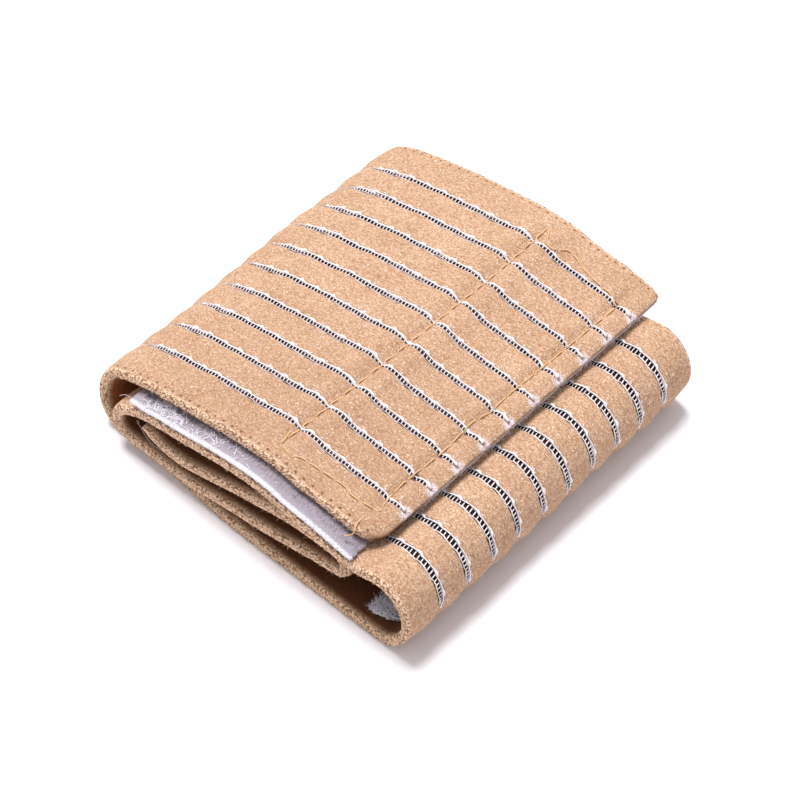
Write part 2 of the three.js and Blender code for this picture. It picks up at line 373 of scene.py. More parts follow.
def half_open(along, stripe):
    """Half the width of a stripe's holes as they lie in the band."""
    return stripe_spread(along) * hole_growth(along, stripe)


def corner_reach(along, across):
    """The flap's corners: the outermost cloth is drawn back round them."""
    radius = np.where(across < WIDTH / 2, FRONT_CORNER, BACK_CORNER)
    inward = np.clip(radius - np.minimum(across, WIDTH - across), 0, radius)
    corner = radius - np.sqrt(radius ** 2 - inward ** 2)
    return along + corner * np.clip(1 - along / CORNER_FADE, 0, 1)


def puckers(along, across):
    """Dips along the sewing on the flap, and the cloth that puffs up behind the first."""
    sewn = ease(across, 3.5, 5.5) * (1 - ease(across, 69.5, 71.5))
    stitch = 0.75 + 0.25 * np.sin(across * 2 * math.pi / 3.3)
    dips = 0.75 * hill(along, FIRST_SEAM, 0.9) + 0.60 * hill(along, END_SEAM, 0.8)
    puff = 0.50 * hill(along, FIRST_SEAM + 2.9, 1.9) + 0.26 * hill(along, FIRST_SEAM - 2.4, 1.5)
    puff += 0.28 * hill(along, END_SEAM + 2.2, 1.5) + 0.25 * hill(along, END_SEAM - 1.9, 1.2)
    sides = 0.35 * (hill(across, 5.6, 0.8) + hill(across, 68.4, 0.8))
    behind_end = ease(along, END_SEAM - 0.5, END_SEAM + 0.5)
    before_first = 1 - ease(along, FIRST_SEAM - 0.5, FIRST_SEAM + 0.5)
    return (puff - dips * stitch) * sewn - sides * behind_end * before_first


def lumps(along, across):
    """The slow unevenness of soft cloth that was folded by hand."""
    waves = ((0.31, 0.17, 0.4), (0.19, -0.27, 2.1), (0.47, 0.36, 4.0), (0.62, -0.11, 5.2))
    return sum(0.045 * np.sin(a * along + b * across + c) for a, b, c in waves)


def flat_sheet(alongs, acrosses):
    """A flat grid whose lines lie at the given places, made a closed slab."""
    bm = bmesh.new()
    bmesh.ops.create_grid(bm, x_segments=len(alongs) - 1, y_segments=len(acrosses) - 1, size=0.5)
    for v in bm.verts:
        row = round((v.co.x + 0.5) * (len(alongs) - 1))
        column = round((v.co.y + 0.5) * (len(acrosses) - 1))
        v.co = alongs[row], acrosses[column], -1.0
    raised = bmesh.ops.extrude_face_region(bm, geom=bm.faces[:])["geom"]
    top = [v for v in raised if isinstance(v, bmesh.types.BMVert)]
    bmesh.ops.translate(bm, verts=top, vec=(0, 0, 2))
    bmesh.ops.recalc_face_normals(bm, faces=bm.faces[:])
    return bm


def lay_in_packet(bm, name, shape, fold, finish, smooth=True):
    """Shapes a flat piece, folds it into the packet and gives it its finish."""
    bmesh.ops.reverse_faces(bm, faces=bm.faces[:])
    mesh = bpy.data.meshes.new(name)
    bm.to_mesh(mesh)
    bm.free()
    flat = np.empty(len(mesh.vertices) * 3)
    mesh.vertices.foreach_get("co", flat)
    flat = shape(flat.reshape(-1, 3))
    cloth = mesh.attributes.new("cloth", "FLOAT_VECTOR", "POINT")
    cloth.data.foreach_set("vector", flat.ravel())
    mesh.vertices.foreach_set("co", fold.lay(flat).ravel())
    mesh.polygons.foreach_set("use_smooth", [smooth] * len(mesh.polygons))
    mesh.materials.append(finish)
    mesh.update()
    piece = bpy.data.objects.new(name, mesh)
    bpy.context.scene.collection.objects.link(piece)
    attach(piece, "root")
    return piece


def stripe_masks(along, across, above):
    """The openwork in the knit: its holes and the walls of its grooves, both painted dark as shade, their
    pale fringe and the flap's pale cut.
    """
    # A point is off its stripe's middle by so much, and so far beyond the rim of its hole
    shifted = across - (MARGIN - PITCH / 2)
    stripe = (shifted / PITCH).math("FLOOR")
    off = (shifted - stripe * PITCH - PITCH / 2 - stripe_wander(along)).math("ABSOLUTE")
    seam = (1 - (along - FIRST_SEAM).math("ABSOLUTE").clear(0.3, 1.8)) * 0.8
    closed = drawn_in(along)
    spread = stripe_openness(along) * (1 - seam) * along.clear(0.6, 2.6)
    beyond = off - hole_growth(along, stripe) * spread
    first, last = MARGIN - 1.5, WIDTH - MARGIN + 1.5
    striped = across.clear(first, first + 0.1) * (1 - across.clear(last - 0.1, last))
    cut = (1 - along.clear(0.5, 1.9)) * (1 - off.clear(0.5, 1.7)) * striped
    striped = striped * along.clear(0.7, 1.2)
    fringe = (1 - beyond.clear(0.12, 0.34)) * striped * (1 - closed * 0.8)
    hole = (1 - beyond.clear(-0.04, 0.08)) * striped * spread.clear(0.05, 0.30)
    # Painted shade: the walls of a stripe's groove below the cloth's face take the holes' dark colour.
    groove = (1 - above.clear(0.66, 0.90)) * above.clear(-0.2, 0.2) * striped * (1 - closed)
    groove = groove * (1 - off.clear(0.62, 0.82)) * (1 - seam * 1.25)
    return hole.math("MAXIMUM", groove), fringe, cut


def knit_finish():
    """Tan melange knit: small loops with dark pits between them, and openwork stripes."""
    f = Finish("tan knit", Roughness=0.95, Sheen_Weight=0.06, Sheen_Roughness=0.6,
               Sheen_Tint=(1, 0.75, 0.6, 1), Specular_IOR_Level=0.05)
    place = f.cloth()
    along, across, above = f.parts(place)
    near_edge = across.math("MINIMUM", WIDTH - across)
    selvedge = 1 - near_edge.clear(0.15, 0.8)
    grain = f.node("ShaderNodeTexVoronoi", {"feature": "F1"},
                   {"Vector": f.stretched(place, (2.2, 2.9, 2.4)), "Scale": 1.0, "Randomness": 0.9})
    pit = grain.output("Distance")
    tint = f.parts(grain.output("Color"))[0]
    fibres = f.noise(f.stretched(place, (2.9, 3.8, 3.0)), 1.0, 3.0, 0.7)
    flecks = f.noise(f.stretched(place, (3.0, 3.4, 2.6), (31, 17, 5)), 1.0, 1.0, 0.5)
    slow = f.noise(f.stretched(place, (0.10, 0.13, 0.1), (3, 5, 0)), 1.0, 2.0, 0.5)

    tans = ((0.28, (0.335, 0.173, 0.098)), (0.44, (0.445, 0.266, 0.163)),
            (0.56, (0.51, 0.318, 0.207)), (0.72, (0.66, 0.462, 0.333)))
    tan = f.node("ShaderNodeValToRGB", {"stops": tans},
                 {0: fibres + (tint - 0.5) * 0.14 + (slow - 0.5) * 0.20})
    # Painted shade: the knit on the flap is darkened towards its front selvedge, where less light falls.
    front_shade = (1 - across.clear(2, 50)) * (1 - along.clear(30, 75))
    tan = f.mix(front_shade * 0.30, tan, (0.31, 0.175, 0.112))
    pale = flecks.clear(0.62, 0.72) * 0.65
    dark = (pit + selvedge * 0.10).clear(0.54, 0.74) * (0.32 + selvedge * 0.50)
    colour = f.mix(pale, f.mix(selvedge * 0.6, tan, (0.94, 0.67, 0.47)), (0.88, 0.75, 0.64))
    colour = f.mix(dark, colour, (0.15, 0.06, 0.028))

    hole, fringe, cut = stripe_masks(along, across, above)
    # Painted shade in the holes and grooves: lighter on the flap, darker further along the band.
    painted_hole_shade = f.mix(along.clear(70, 135), (0.085, 0.05, 0.05), (0.03, 0.015, 0.015))
    colour = f.mix(fringe * fibres.clear(0.30, 0.5) * 0.85, colour, (0.84, 0.78, 0.80))
    colour = f.mix(cut * fibres.clear(0.34, 0.52) * 0.75, colour, (0.80, 0.76, 0.84))
    colour = f.mix(hole, colour, painted_hole_shade)

    # A row of small gaps just inside each selvedge
    gaps = sine(along * 3.1).clear(0.55, 0.9) * (0.70 - along.clear(60, 80) * 0.45)
    row = 1 - (near_edge - 1.0).math("ABSOLUTE").clear(0.10, 0.30)
    colour = f.mix(row * gaps, colour, (0.07, 0.03, 0.015))

    # The inner faces are dim, but light comes through the cloth in the outer left fold
    inside = (1 - above.clear(-0.3, 0.5)).math("MAXIMUM", along.clear(INNER_FOLD_AT - 4, INNER_FOLD_AT + 4))
    lit_through = along.clear(56, 62) * (1 - along.clear(80, 88)) * (1 - across.clear(6, 20))
    dim = f.mix(lit_through, f.mix(fibres, (0.060, 0.014, 0.004), (0.150, 0.045, 0.015)),
                f.mix(fibres, (0.21, 0.045, 0.012), (0.46, 0.14, 0.045)))
    colour = f.mix(inside * near_edge.clear(0.35, 1.7) * 0.95, colour, dim)
    pale_end = (1 - along.clear(0.3, 1.0)) * (1 - above.clear(-0.6, 0.2)) * across.clear(9, 16)
    colour = f.mix(pale_end * 0.95, colour, (0.88, 0.85, 0.95))
    return f.finish(colour, fibres * 0.9 - pit * 0.6 + flecks * 0.3 - hole * 0.3, 0.0003, 0.65)


def band_columns():
    """Where the mesh's lines run along the band: close at selvedges and stripes."""
    front = [0.0, 0.35, 1.0, 2.0, 3.3, 5.0]
    stripe = [line + off for line in stripe_lines for off in (-1.4, -0.8, -0.55, 0.55, 0.8, 1.4)]
    ribs = [line + PITCH / 2 for line in stripe_lines[:-1]]
    back = [WIDTH - value for value in front]
    return np.array(sorted(front + stripe + ribs + back))


def band_rows():
    """And across it: close on the flap and in the folds."""
    tail = RIGHT_FOLD_AT + 22
    spans = ((0, 1.0, 0.25), (1.0, 30, 0.5), (30, OUTER_FOLD_AT - 12, 1.0),
             (OUTER_FOLD_AT - 12, OUTER_FOLD_AT + 12, 0.7),
             (OUTER_FOLD_AT + 12, RIGHT_FOLD_AT - 14, 1.8), (RIGHT_FOLD_AT - 14, tail, 0.7),
             (tail, INNER_FOLD_AT - 12, 1.6), (INNER_FOLD_AT - 12, INNER_FOLD_AT + 12, 0.9),
             (INNER_FOLD_AT + 12, band_fold.length, 1.8))
    rows = [np.linspace(a, b, max(2, round((b - a) / step)), endpoint=False) for a, b, step in spans]
    return np.concatenate((*rows, [band_fold.length]))


def band_shape(flat):
    """Ribs that stand up between the stripes, thin selvedges and ends, sewing and lumps."""
    along, across, side = flat.T
    off = np.mod(across - MARGIN + PITCH / 2, PITCH) - PITCH / 2
    inside = (across > MARGIN - 1.6) & (across < WIDTH - MARGIN + 1.6)
    groove = np.where(inside, 1 - ease(np.abs(off), 0.55, 0.8), 0)
    shoulder = np.where(inside, 1 - ease(np.abs(off), 0.8, 2.6), 0)
    half = CLOTH / 2 + RIB_SWELL - 0.14 * shoulder
    half = half - GROOVE_DEPTH * groove * (1 - 0.85 * drawn_in(along))
    half = half * (0.45 + 0.55 * np.sqrt(ease(np.minimum(across, WIDTH - across), -0.6, 1.6)))
    for from_end in (along, band_fold.length - along):
        half = half * (0.40 + 0.60 * np.sqrt(ease(from_end, -0.3, 1.4)))
    pucker = np.where(side > 0, puckers(along, across), 0)
    above = side * half + pucker + lumps(along, across) * np.where(side > 0, 1, 0.4)
    before_right = ease(along, RIGHT_FOLD_AT - 13, RIGHT_FOLD_AT - 7)
    bulge = 0.5 * ease(along, 52, 60) * (1 - ease(along, 72, 80))
    bulge = bulge + before_right * (1 - ease(along, RIGHT_FOLD_AT - 2, RIGHT_FOLD_AT + 8))
    above = above + np.where(side > 0, 0.36 * bulge * (ease(np.abs(off), 0.3, 3.2) - 0.6), 0)
    drawn = stripe_wander(along) + off * (0.8 * np.maximum(stripe_spread(along), 0.35) - 0.9)
    across = across + np.where(inside, drawn * (1 - ease(np.abs(off), 0.9, 2.4)), 0)
    return np.stack((corner_reach(along, across), across, above), 1)


band = lay_in_packet(flat_sheet(band_rows(), band_columns()), "knitted_band", band_shape, band_fold,
                     knit_finish())
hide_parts("wrap_band")


# The openwork stripes' yarns: white rungs across each ladder, a thin yarn on its near
# side and a thick looped one on its far side. Each is made once, straight and on the
# flat, then repeated along the stripe and across the band.
LADDER_START = 0.9
LADDER_END = RIGHT_FOLD_AT + 24.0
RUNG_HALF = 0.8          # half a rung's length before it is fitted to its hole


def straight_yarn(length, step, radius, sides):
    """A yarn along the band from 0 to its length."""
    bm = bmesh.new()
    stand = Matrix.Rotation(math.pi / 2, 4, "Y")
    ring = bmesh.ops.create_circle(bm, segments=sides, radius=radius, matrix=stand)["verts"]
    steps = max(1, round(length / step))
    bmesh.ops.spin(bm, geom=ring + bm.edges[:], cent=(0, 0, 0), axis=(1, 0, 0),
                   dvec=(length / steps, 0, 0), angle=0, steps=steps, use_duplicate=False, use_merge=False)
    bmesh.ops.holes_fill(bm, edges=[e for e in bm.edges if e.is_boundary], sides=0)
    bmesh.ops.recalc_face_normals(bm, faces=bm.faces[:])
    return bm


def half_loop(reach, radius, sides):
    """A small loop of yarn that bulges towards the front."""
    bm = bmesh.new()
    stand = Matrix.Translation((reach, 0, 0)) @ Matrix.Rotation(math.pi / 2, 4, "X")
    ring = bmesh.ops.create_circle(bm, segments=sides, radius=radius, matrix=stand)["verts"]
    bmesh.ops.spin(bm, geom=ring + bm.edges[:], cent=(0, 0, 0), axis=(0, 0, 1), angle=-math.pi, steps=4,
                   use_duplicate=False, use_merge=False)
    bmesh.ops.recalc_face_normals(bm, faces=bm.faces[:])
    return bm


def place_flat(bm, vec, turns=()):
    """Turns a small piece about its own origin, then moves it to its place on the flat."""
    for angle, axis in turns:
        bmesh.ops.rotate(bm, verts=bm.verts[:], cent=(0, 0, 0), matrix=Matrix.Rotation(angle, 3, axis))
    bmesh.ops.translate(bm, verts=bm.verts[:], vec=vec)
    return bm


def repeat(bm, count, step):
    """Copies everything count times, a step apart, by doubling what is there."""
    number = bm.verts.layers.int.new("number")
    made = 1
    while made < count:
        take = min(made, count - made)
        verts = [v for v in bm.verts if v[number] < take]
        faces = [f for f in bm.faces if f.verts[0][number] < take]
        edges = [e for e in bm.edges if e.verts[0][number] < take]
        copied = bmesh.ops.duplicate(bm, geom=verts + edges + faces)["geom"]
        moved = [g for g in copied if isinstance(g, bmesh.types.BMVert)]
        bmesh.ops.translate(bm, verts=moved, vec=Vector(step) * made)
        for v in moved:
            v[number] += made
        made += take
    bm.verts.layers.int.remove(number)
    return bm


def yarn_finish(name, light, shade, scale=3.0):
    f = Finish(name, Roughness=0.85, Sheen_Weight=0.1, Specular_IOR_Level=0.2)
    fibres = f.noise(f.stretched(f.cloth(), (scale, scale * 2, scale * 2)), 1.0, 3.0, 0.65)
    return f.finish(f.mix(fibres.clear(0.3, 0.75), shade, light), fibres, 0.0001, 0.8)


def by_stripe(flat):
    """A yarn's points as made: along, off the stripe's middle, above it, and which stripe."""
    along, across, up = flat.T
    stripe = np.round(across / PITCH)
    return along, across - stripe * PITCH, up, stripe


def on_stripe(along, off, up, stripe):
    """Puts a yarn's points on their stripe, over the cloth as it lies there."""
    across = MARGIN + stripe * PITCH + off
    up = up + puckers(along, across) + lumps(along, across) - GROOVE_DEPTH * drawn_in(along)
    return np.stack((corner_reach(along, across), across, up), 1)


def far_shape(flat):
    """The far yarn swells to a knot at the end of each burst, at the cut and at the seam."""
    along, off, up, stripe = by_stripe(flat)
    knot = hill(burst_share(along, stripe), 0.90, 0.15) + hill(along, 1.4, 0.7)
    knot = knot + 0.9 * hill(along, FIRST_SEAM + 1.6, 0.8)
    swell = 0.62 + 0.95 * knot + 0.14 * np.sin(along * 6.1 + stripe)
    return on_stripe(along, off * swell + half_open(along, stripe) + 0.16, up * swell + 1.02 + 0.06 * knot,
                     stripe)


def near_shape(flat):
    """The near yarn follows the holes' rim, thinner on the flap."""
    along, off, up, stripe = by_stripe(flat)
    swell = 0.8 + 0.9 * hill(burst_share(along, stripe), 0.30, 0.22)
    swell = swell * (0.45 + 0.55 * ease(along, 70, 135))
    aside = -half_open(along, stripe) - 0.08 + 0.04 * np.sin(along * 3.8 + stripe)
    return on_stripe(along, off * swell + aside, up * swell + 0.90, stripe)


def rung_shape(flat):
    """The rungs lean a little, arch over their hole and are as long as it is wide."""
    along, off, up, stripe = by_stripe(flat)
    share = off / RUNG_HALF
    arch = 0.08 * np.cos(np.clip(share, -1, 1) * math.pi / 2)
    leaning = along + 0.12 * off
    height = 0.90 - 0.14 * ease(leaning, 70, 135)
    return on_stripe(leaning, share * (half_open(along, stripe) + 0.12) + 0.03, up + arch + height, stripe)


def picot_shape(flat):
    along, off, up, stripe = by_stripe(flat)
    return on_stripe(along, off + half_open(along, stripe) + 0.38, up + 1.12, stripe)


white_yarn = yarn_finish("white ladder yarn", (0.96, 0.94, 0.97), (0.62, 0.55, 0.58))
faint_yarn = yarn_finish("faint ladder yarn", (0.93, 0.88, 0.90), (0.62, 0.52, 0.50))
far_yarn = place_flat(straight_yarn(LADDER_END - LADDER_START, 0.36, 0.20, 5), (LADDER_START, 0, 0))
near_yarn = place_flat(straight_yarn(LADDER_END - LADDER_START, 0.6, 0.10, 4), (LADDER_START, 0, 0))
rung = place_flat(straight_yarn(2 * RUNG_HALF, 0.8, 0.105, 4), (1.8, -RUNG_HALF, 0),
                  ((math.pi / 2, "Z"),))
picot = place_flat(half_loop(0.20, 0.09, 4), (2.4, 0, 0), ((math.pi, "Z"),))
rungs = repeat(rung, int((LADDER_END - 2.4) / RUNG), (RUNG, 0, 0))
picots = repeat(picot, int((LADDER_END - 3) / BURST), (BURST, 0, 0))
for bm, name, shape, finish in (
        (far_yarn, "ladder_far_yarns", far_shape, white_yarn),
        (near_yarn, "ladder_near_yarns", near_shape, faint_yarn),
        (rungs, "ladder_rungs", rung_shape, white_yarn),
        (picots, "ladder_picots", picot_shape, white_yarn)):
    piece = lay_in_packet(repeat(bm, STRIPES, (0, PITCH, 0)), name, shape, band_fold, finish)


# The selvedges: the knit's edge yarn turns back in a small loop about every 0.8
# millimetres, so both long edges of the band are scalloped.
SELVEDGE_LOOP = 0.76


def edge_shape(flat):
    along, across, up = flat.T
    jitter = 0.08 * np.sin(along * 1.9) + 0.06 * np.sin(along * 4.7 + 1)
    across = across + jitter + np.where(across > WIDTH / 2, -0.14, 0.14)
    up = up * 1.1 - 0.12 + 0.12 * np.sin(along * 2.3)
    return np.stack((corner_reach(along, np.clip(across, 0, WIDTH)), across, up), 1)


selvedge_yarn = yarn_finish("selvedge yarn", (0.86, 0.63, 0.45), (0.41, 0.235, 0.145), 2.2)
for name, across, turned_round in (("front_selvedge", 0.0, 0.0), ("back_selvedge", WIDTH, math.pi)):
    loop = place_flat(half_loop(0.27, 0.15, 5), (1.0, across, 0),
                      ((math.radians(40), "Y"), (turned_round, "Z")))
    loops = repeat(loop, int((band_fold.length - 1.5) / SELVEDGE_LOOP), (SELVEDGE_LOOP, 0, 0))
    piece = lay_in_packet(loops, name, edge_shape, band_fold, selvedge_yarn)


# The hook patch: stiff white woven tape with rows of small hooks, sewn under the flap.
# Its front edge shows as a bright strip below the flap, cut ragged at the right end.
HOOK_WIDTH = 76.4
HOOK_LENGTH = 52.3


def hook_height(x):
    return wrap_height(x) + CLOTH / 2 + LEAST_GAP + HOOK_THICKNESS / 2


def hook_finish():
    """White woven border, and behind it the field of hooks in fine rows, greyer than the border and painted
    darker as shade under the flap, with lint.
    """
    f = Finish("white hook tape", Roughness=0.5, Sheen_Weight=0.15, Specular_IOR_Level=0.4)
    place = f.cloth()
    along, across, above = f.parts(place)
    dots = (sine(along * 7.0) * sine(across * 8.5)).clear(0.2, 0.8) * (1 - along.clear(6, 26))
    threads = f.noise(f.stretched(place, (5.0, 1.1, 2.0)), 1.0, 4.0, 0.7)
    lint = f.noise(f.stretched(place, (1.6, 1.2, 1.0), (7, 3, 0)), 1.0, 5.0, 0.75)
    inner = across.math("MINIMUM", HOOK_WIDTH - across).clear(0.35, 0.95)
    # The field is greyer for its hooks, and painted darker as shade further back from the front edge, under
    # the flap.
    hooks_and_shade = f.mix(threads.clear(0.35, 0.65), (0.16, 0.125, 0.155), (0.34, 0.29, 0.345))
    hooks_and_shade = f.mix(across.clear(0.9, 2.4), (0.30, 0.265, 0.315), hooks_and_shade)
    white = f.mix(threads.clear(0.35, 0.6), (0.50, 0.47, 0.54), (0.76, 0.73, 0.80))
    colour = f.mix(inner, white, hooks_and_shade)
    colour = f.mix(lint.clear(0.57, 0.70) * 0.45, colour, (0.70, 0.67, 0.74))
    colour = f.mix(dots * 0.5, colour, (0.30, 0.25, 0.33))
    colour = f.mix(1 - along.clear(-1.1, -0.3), colour, (0.92, 0.90, 0.97))
    return f.finish(colour, threads + lint * 0.5 - dots * 0.4, 0.0002, 0.8)


def hook_shape(flat):
    """Thin at its edges, ragged where it was cut, and reaching further out at the back."""
    along, across, side = flat.T
    edge = np.minimum(across, HOOK_WIDTH - across)
    half = 0.40 * (0.45 + 0.55 * np.sqrt(ease(edge, 0.1, 1.6)))
    ragged = 0.35 * np.sin(across * 7.3) * np.sin(across * 2.9 + 1) + 0.25 * np.sin(across * 17.0)
    ragged = ragged * (1 - 0.7 * ease(across, 8, 16))
    along = along + np.where(along < 3, (1 - along / 3) * ragged, 0)
    half = half * (1 - 0.45 * (1 - ease(along, 0, 4)))
    side = side + 0.9 * (1 - ease(along, 0, 4)) * ease(across, 8, 20)
    along = along - 1.05 * ease(across, 14, 34) * (1 - ease(along, 0, 6))
    return np.stack((along, across + 0.05 * np.sin(along * 3.1), side * half), 1)


hook_fold = Fold(layer(hook_height, HOOK_END, HOOK_END - HOOK_LENGTH, 15))
hook_columns = np.concatenate((np.linspace(0, 2, 8), np.linspace(2.6, HOOK_WIDTH - 2.6, 110),
                               np.linspace(HOOK_WIDTH - 2, HOOK_WIDTH, 8)))
hooks = lay_in_packet(flat_sheet(np.linspace(0, hook_fold.length, 90), hook_columns), "hook_tape",
                      hook_shape, hook_fold, hook_finish())
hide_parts("hook_patch")


# The fleece patch: brushed white loops on the band's inner face, which the hooks catch
# when the wrap is worn. It is seen inside the open fold at the right.
FLEECE_LENGTH = 30.0
FLEECE_WIDTH = 69.6
FLEECE_THICKNESS = 1.0
FLEECE_START = RIGHT_FOLD_AT - 15.5
FLEECE_INSET = 3.6       # bare band left along the front selvedge


def fleece_finish():
    f = Finish("brushed fleece", Roughness=1.0, Sheen_Weight=0.5, Sheen_Roughness=0.5)
    place = f.cloth()
    tufts = f.noise(f.stretched(place, (1.9, 2.3, 1.9)), 1.0, 4.0, 0.75)
    slow = f.noise(f.stretched(place, (0.25, 0.25, 0.25)), 1.0, 2.0, 0.5)
    colour = f.mix(tufts.clear(0.43, 0.56), (0.14, 0.12, 0.15), (1.0, 0.98, 1.0))
    return f.finish(f.mix(slow.clear(0.4, 0.7) * 0.15, colour, (0.60, 0.57, 0.66)), tufts, 0.0006, 1.0)


def askew(along):
    """How far the patch's front edge strays backwards, as it was sewn on by hand."""
    return 0.8 * ease(along, 6, 14) - 1.3 * (1 - ease(along, 1, 7))


def fleece_shape(flat):
    along, across, side = flat.T
    edge = np.minimum(np.minimum(across, FLEECE_WIDTH - across), np.minimum(along, FLEECE_LENGTH - along))
    tuft = 0.14 * np.sin(along * 5.1 + 2 * np.sin(across * 1.3)) * np.sin(across * 4.3 + np.sin(along * 2.1))
    half = 0.5 * (0.5 + 0.5 * np.sqrt(ease(edge, -0.3, 0.8))) + np.where(side < 0, tuft, 0)
    ragged = 0.22 * np.sin(along * 3.7) * np.sin(along * 1.3)
    across = across + np.where(across < 1, ragged, 0) + askew(along) * (1 - ease(across, 0, 12))
    under = (CLOTH + FLEECE_THICKNESS) / 2 + LEAST_GAP
    return np.stack((FLEECE_START + along, FLEECE_INSET + across, side * half - under), 1)


fleece_sheet = flat_sheet(np.linspace(0, FLEECE_LENGTH, 76), np.linspace(0, FLEECE_WIDTH, 150))
fleece = lay_in_packet(fleece_sheet, "fleece_patch", fleece_shape, band_fold, fleece_finish())
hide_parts("loop_patch")


# The sewing: orange-tan thread in a rectangle of long stitches that holds the hook patch
# to the flap, with a loose tail at the front corner and a loop left by the needle.
UNBROKEN = 60.0          # a stitch longer than any loose end, so that it dips only at its start


def sew(points, stitch, radius=0.14, gap=0.12, lift=0.13):
    """One line of stitches over the band's upper face: thread up, along and down."""
    line = smooth_line([(*p, 0.0) if len(p) == 2 else p for p in points], 12)
    far = np.concatenate(([0], np.cumsum(np.linalg.norm(np.diff(line, axis=0), axis=1))))
    bm = straight_yarn(far[-1], 0.35, radius, 5)

    def shape(flat):
        t, aside, up = flat.T
        x, y, extra = (np.interp(t, far, column) for column in line.T)
        head_x, head_y = (np.interp(t, far, np.gradient(column, far)) for column in line.T[:2])
        share = np.mod(t / stitch, 1.0)
        sunk = 1 - ease(np.minimum(share, 1 - share), 0.0, gap)
        bow = 0.10 * np.sin(share * math.pi)
        x, y = x - head_y * aside, y + head_x * aside
        surface = CLOTH / 2 + 0.02 + puckers(x, y) + lumps(x, y)
        return np.stack((x, y, surface + up + lift + bow - sunk * 0.75 + extra), 1)

    return bm, shape


# Each line of sewing: its points along and across the flap, and its stitches' length
seams = {
    "seam_first": (((24.3, 5.0), (24.1, 15.3), (24.0, 27.4), (23.8, 39.8), (23.8, 52.6), (24.1, 63.5),
                    (24.4, 70.6)), 3.3),
    "seam_far_side": (((23.9, 70.9), (21.3, 67.6), (18.3, 69.8), (13.6, 68.8), (10.6, 68.3), (6.8, 67.8),
                       (4.0, 66.9)), 3.0),
    "seam_end": (((3.9, 67.0), (4.1, 61.0), (4.2, 55.8), (4.6, 37.7), (4.4, 33.6), (5.0, 30.0), (4.5, 22.4),
                  (4.6, 18.6), (4.8, 12.2), (4.5, 8.7), (4.0, 5.8)), 3.6),
    "seam_front_side": (((24.0, 3.4), (21.7, 2.6), (19.8, 3.6), (17.9, 3.9), (14.1, 4.3), (10.8, 4.6),
                         (8.9, 4.1), (5.9, 4.4), (3.4, 5.3)), 2.9)}

# The thread's loose ends: along, across and above the cloth
loose_ends = {
    "thread_tail": ((3.8, 4.9, 0.1), (4.3, 3.3, 0.3), (4.7, 2.1, 0.3), (4.6, 0.8, 0.3), (4.2, -0.3, 0.0),
                    (3.9, -0.9, -0.6), (4.4, -1.4, -1.2), (5.1, -1.7, -1.7)),
    "thread_loop": ((25.9, 8.8, 0.1), (25.2, 7.4, 0.3), (24.9, 6.7, 0.4), (24.6, 5.6, 0.5), (24.3, 4.4, 0.3),
                    (24.0, 3.4, 0.1))}

thread = yarn_finish("orange tan thread", (0.87, 0.57, 0.32), (0.55, 0.29, 0.13), 5.0)
sewn = {name: sew(points, stitch) for name, (points, stitch) in seams.items()}
sewn.update({name: sew(points, UNBROKEN, radius=0.13, lift=0.12) for name, points in loose_ends.items()})
for name, (bm, shape) in sewn.items():
    piece = lay_in_packet(bm, name, shape, band_fold, thread)


# The loose yarns: two pale ends of the knit's own yarn that have worked free in the
# left folds, one where the wrap turns in at the hook tape and one at the band's end.
loose_yarns = {
    "loose_yarn_outer": ((222.0, 0.8, 1.2), (222.8, 0.8, 1.65), (223.7, 0.8, 1.85), (224.8, 0.8, 1.6),
                         (225.7, 0.8, 1.3)),
    "loose_yarn_inner": ((338.2, 0.4, -1.5), (338.9, 0.4, -2.2), (337.5, 0.4, -2.75), (336.6, 0.4, -3.45),
                         (335.3, 0.4, -3.9), (334.2, 0.4, -4.0), (333.1, 0.4, -3.5), (332.2, 0.5, -3.2))}
loose_yarn = yarn_finish("loose pale yarn", (0.60, 0.47, 0.44), (0.34, 0.25, 0.24))
for name, points in loose_yarns.items():
    bm, shape = sew(points, UNBROKEN, radius=0.06, gap=0.001, lift=0.12)
    piece = lay_in_packet(bm, name, shape, band_fold, loose_yarn)


# The fuzz: short tan fibres that stand out of the knit and soften the packet's outline,
# and white lint that hangs on the hooks, on the fleece and under the flap's end.
APART = 10               # from fibre to fibre before each is put in its place


def scattered(count, seed, place, lean, longest, thick):
    """Fibres at random places on the band: each bends over the cloth its own way."""
    chance = np.random.default_rng(seed)
    spots = place(chance, count)
    turn = chance.uniform(0, 2 * math.pi, count)
    tilt = chance.normal(lean, 0.25, count)
    long = chance.uniform(0.3, longest, count)
    bm = bmesh.new()
    bmesh.ops.create_cone(bm, cap_ends=True, segments=3, radius1=thick, radius2=thick / 3, depth=1.0)
    repeat(place_flat(bm, (0, 0, 0.5)), count, (APART, 0, 0))

    def shape(flat):
        x, y, z = flat.T
        which = np.round(x / APART).astype(int)
        x = x - APART * which
        z = z * long[which]
        reach, rise = np.sin(tilt[which]) * z, np.cos(tilt[which]) * z
        along = spots[which, 0] + x + np.cos(turn[which]) * reach
        across = spots[which, 1] + y + np.sin(turn[which]) * reach
        above = spots[which, 2] + rise + puckers(along, across) + lumps(along, across)
        return np.stack((corner_reach(along, np.clip(across, -1, WIDTH + 1)), across, above), 1)

    return bm, shape


def on_face(chance, count):
    on_flap = count * 3 // 5
    along = np.concatenate((chance.uniform(0, OUTER_FOLD_AT + 8, on_flap),
                            chance.uniform(RIGHT_FOLD_AT - 12, LADDER_END, count - on_flap)))
    rib = chance.integers(0, STRIPES + 1, count)
    across = MARGIN + (rib - 0.5) * PITCH + chance.uniform(-2.2, 2.2, count)
    return np.stack((along, np.clip(across, 0.3, WIDTH - 0.3), np.full(count, CLOTH / 2 - 0.02)), 1)


def on_edges(chance, count):
    along = chance.uniform(0, band_fold.length, count)
    across = np.where(chance.random(count) < 0.6, chance.uniform(-0.35, 0.4, count),
                      WIDTH - chance.uniform(-0.35, 0.4, count))
    return np.stack((along, across, chance.uniform(-0.7, 0.7, count)), 1)


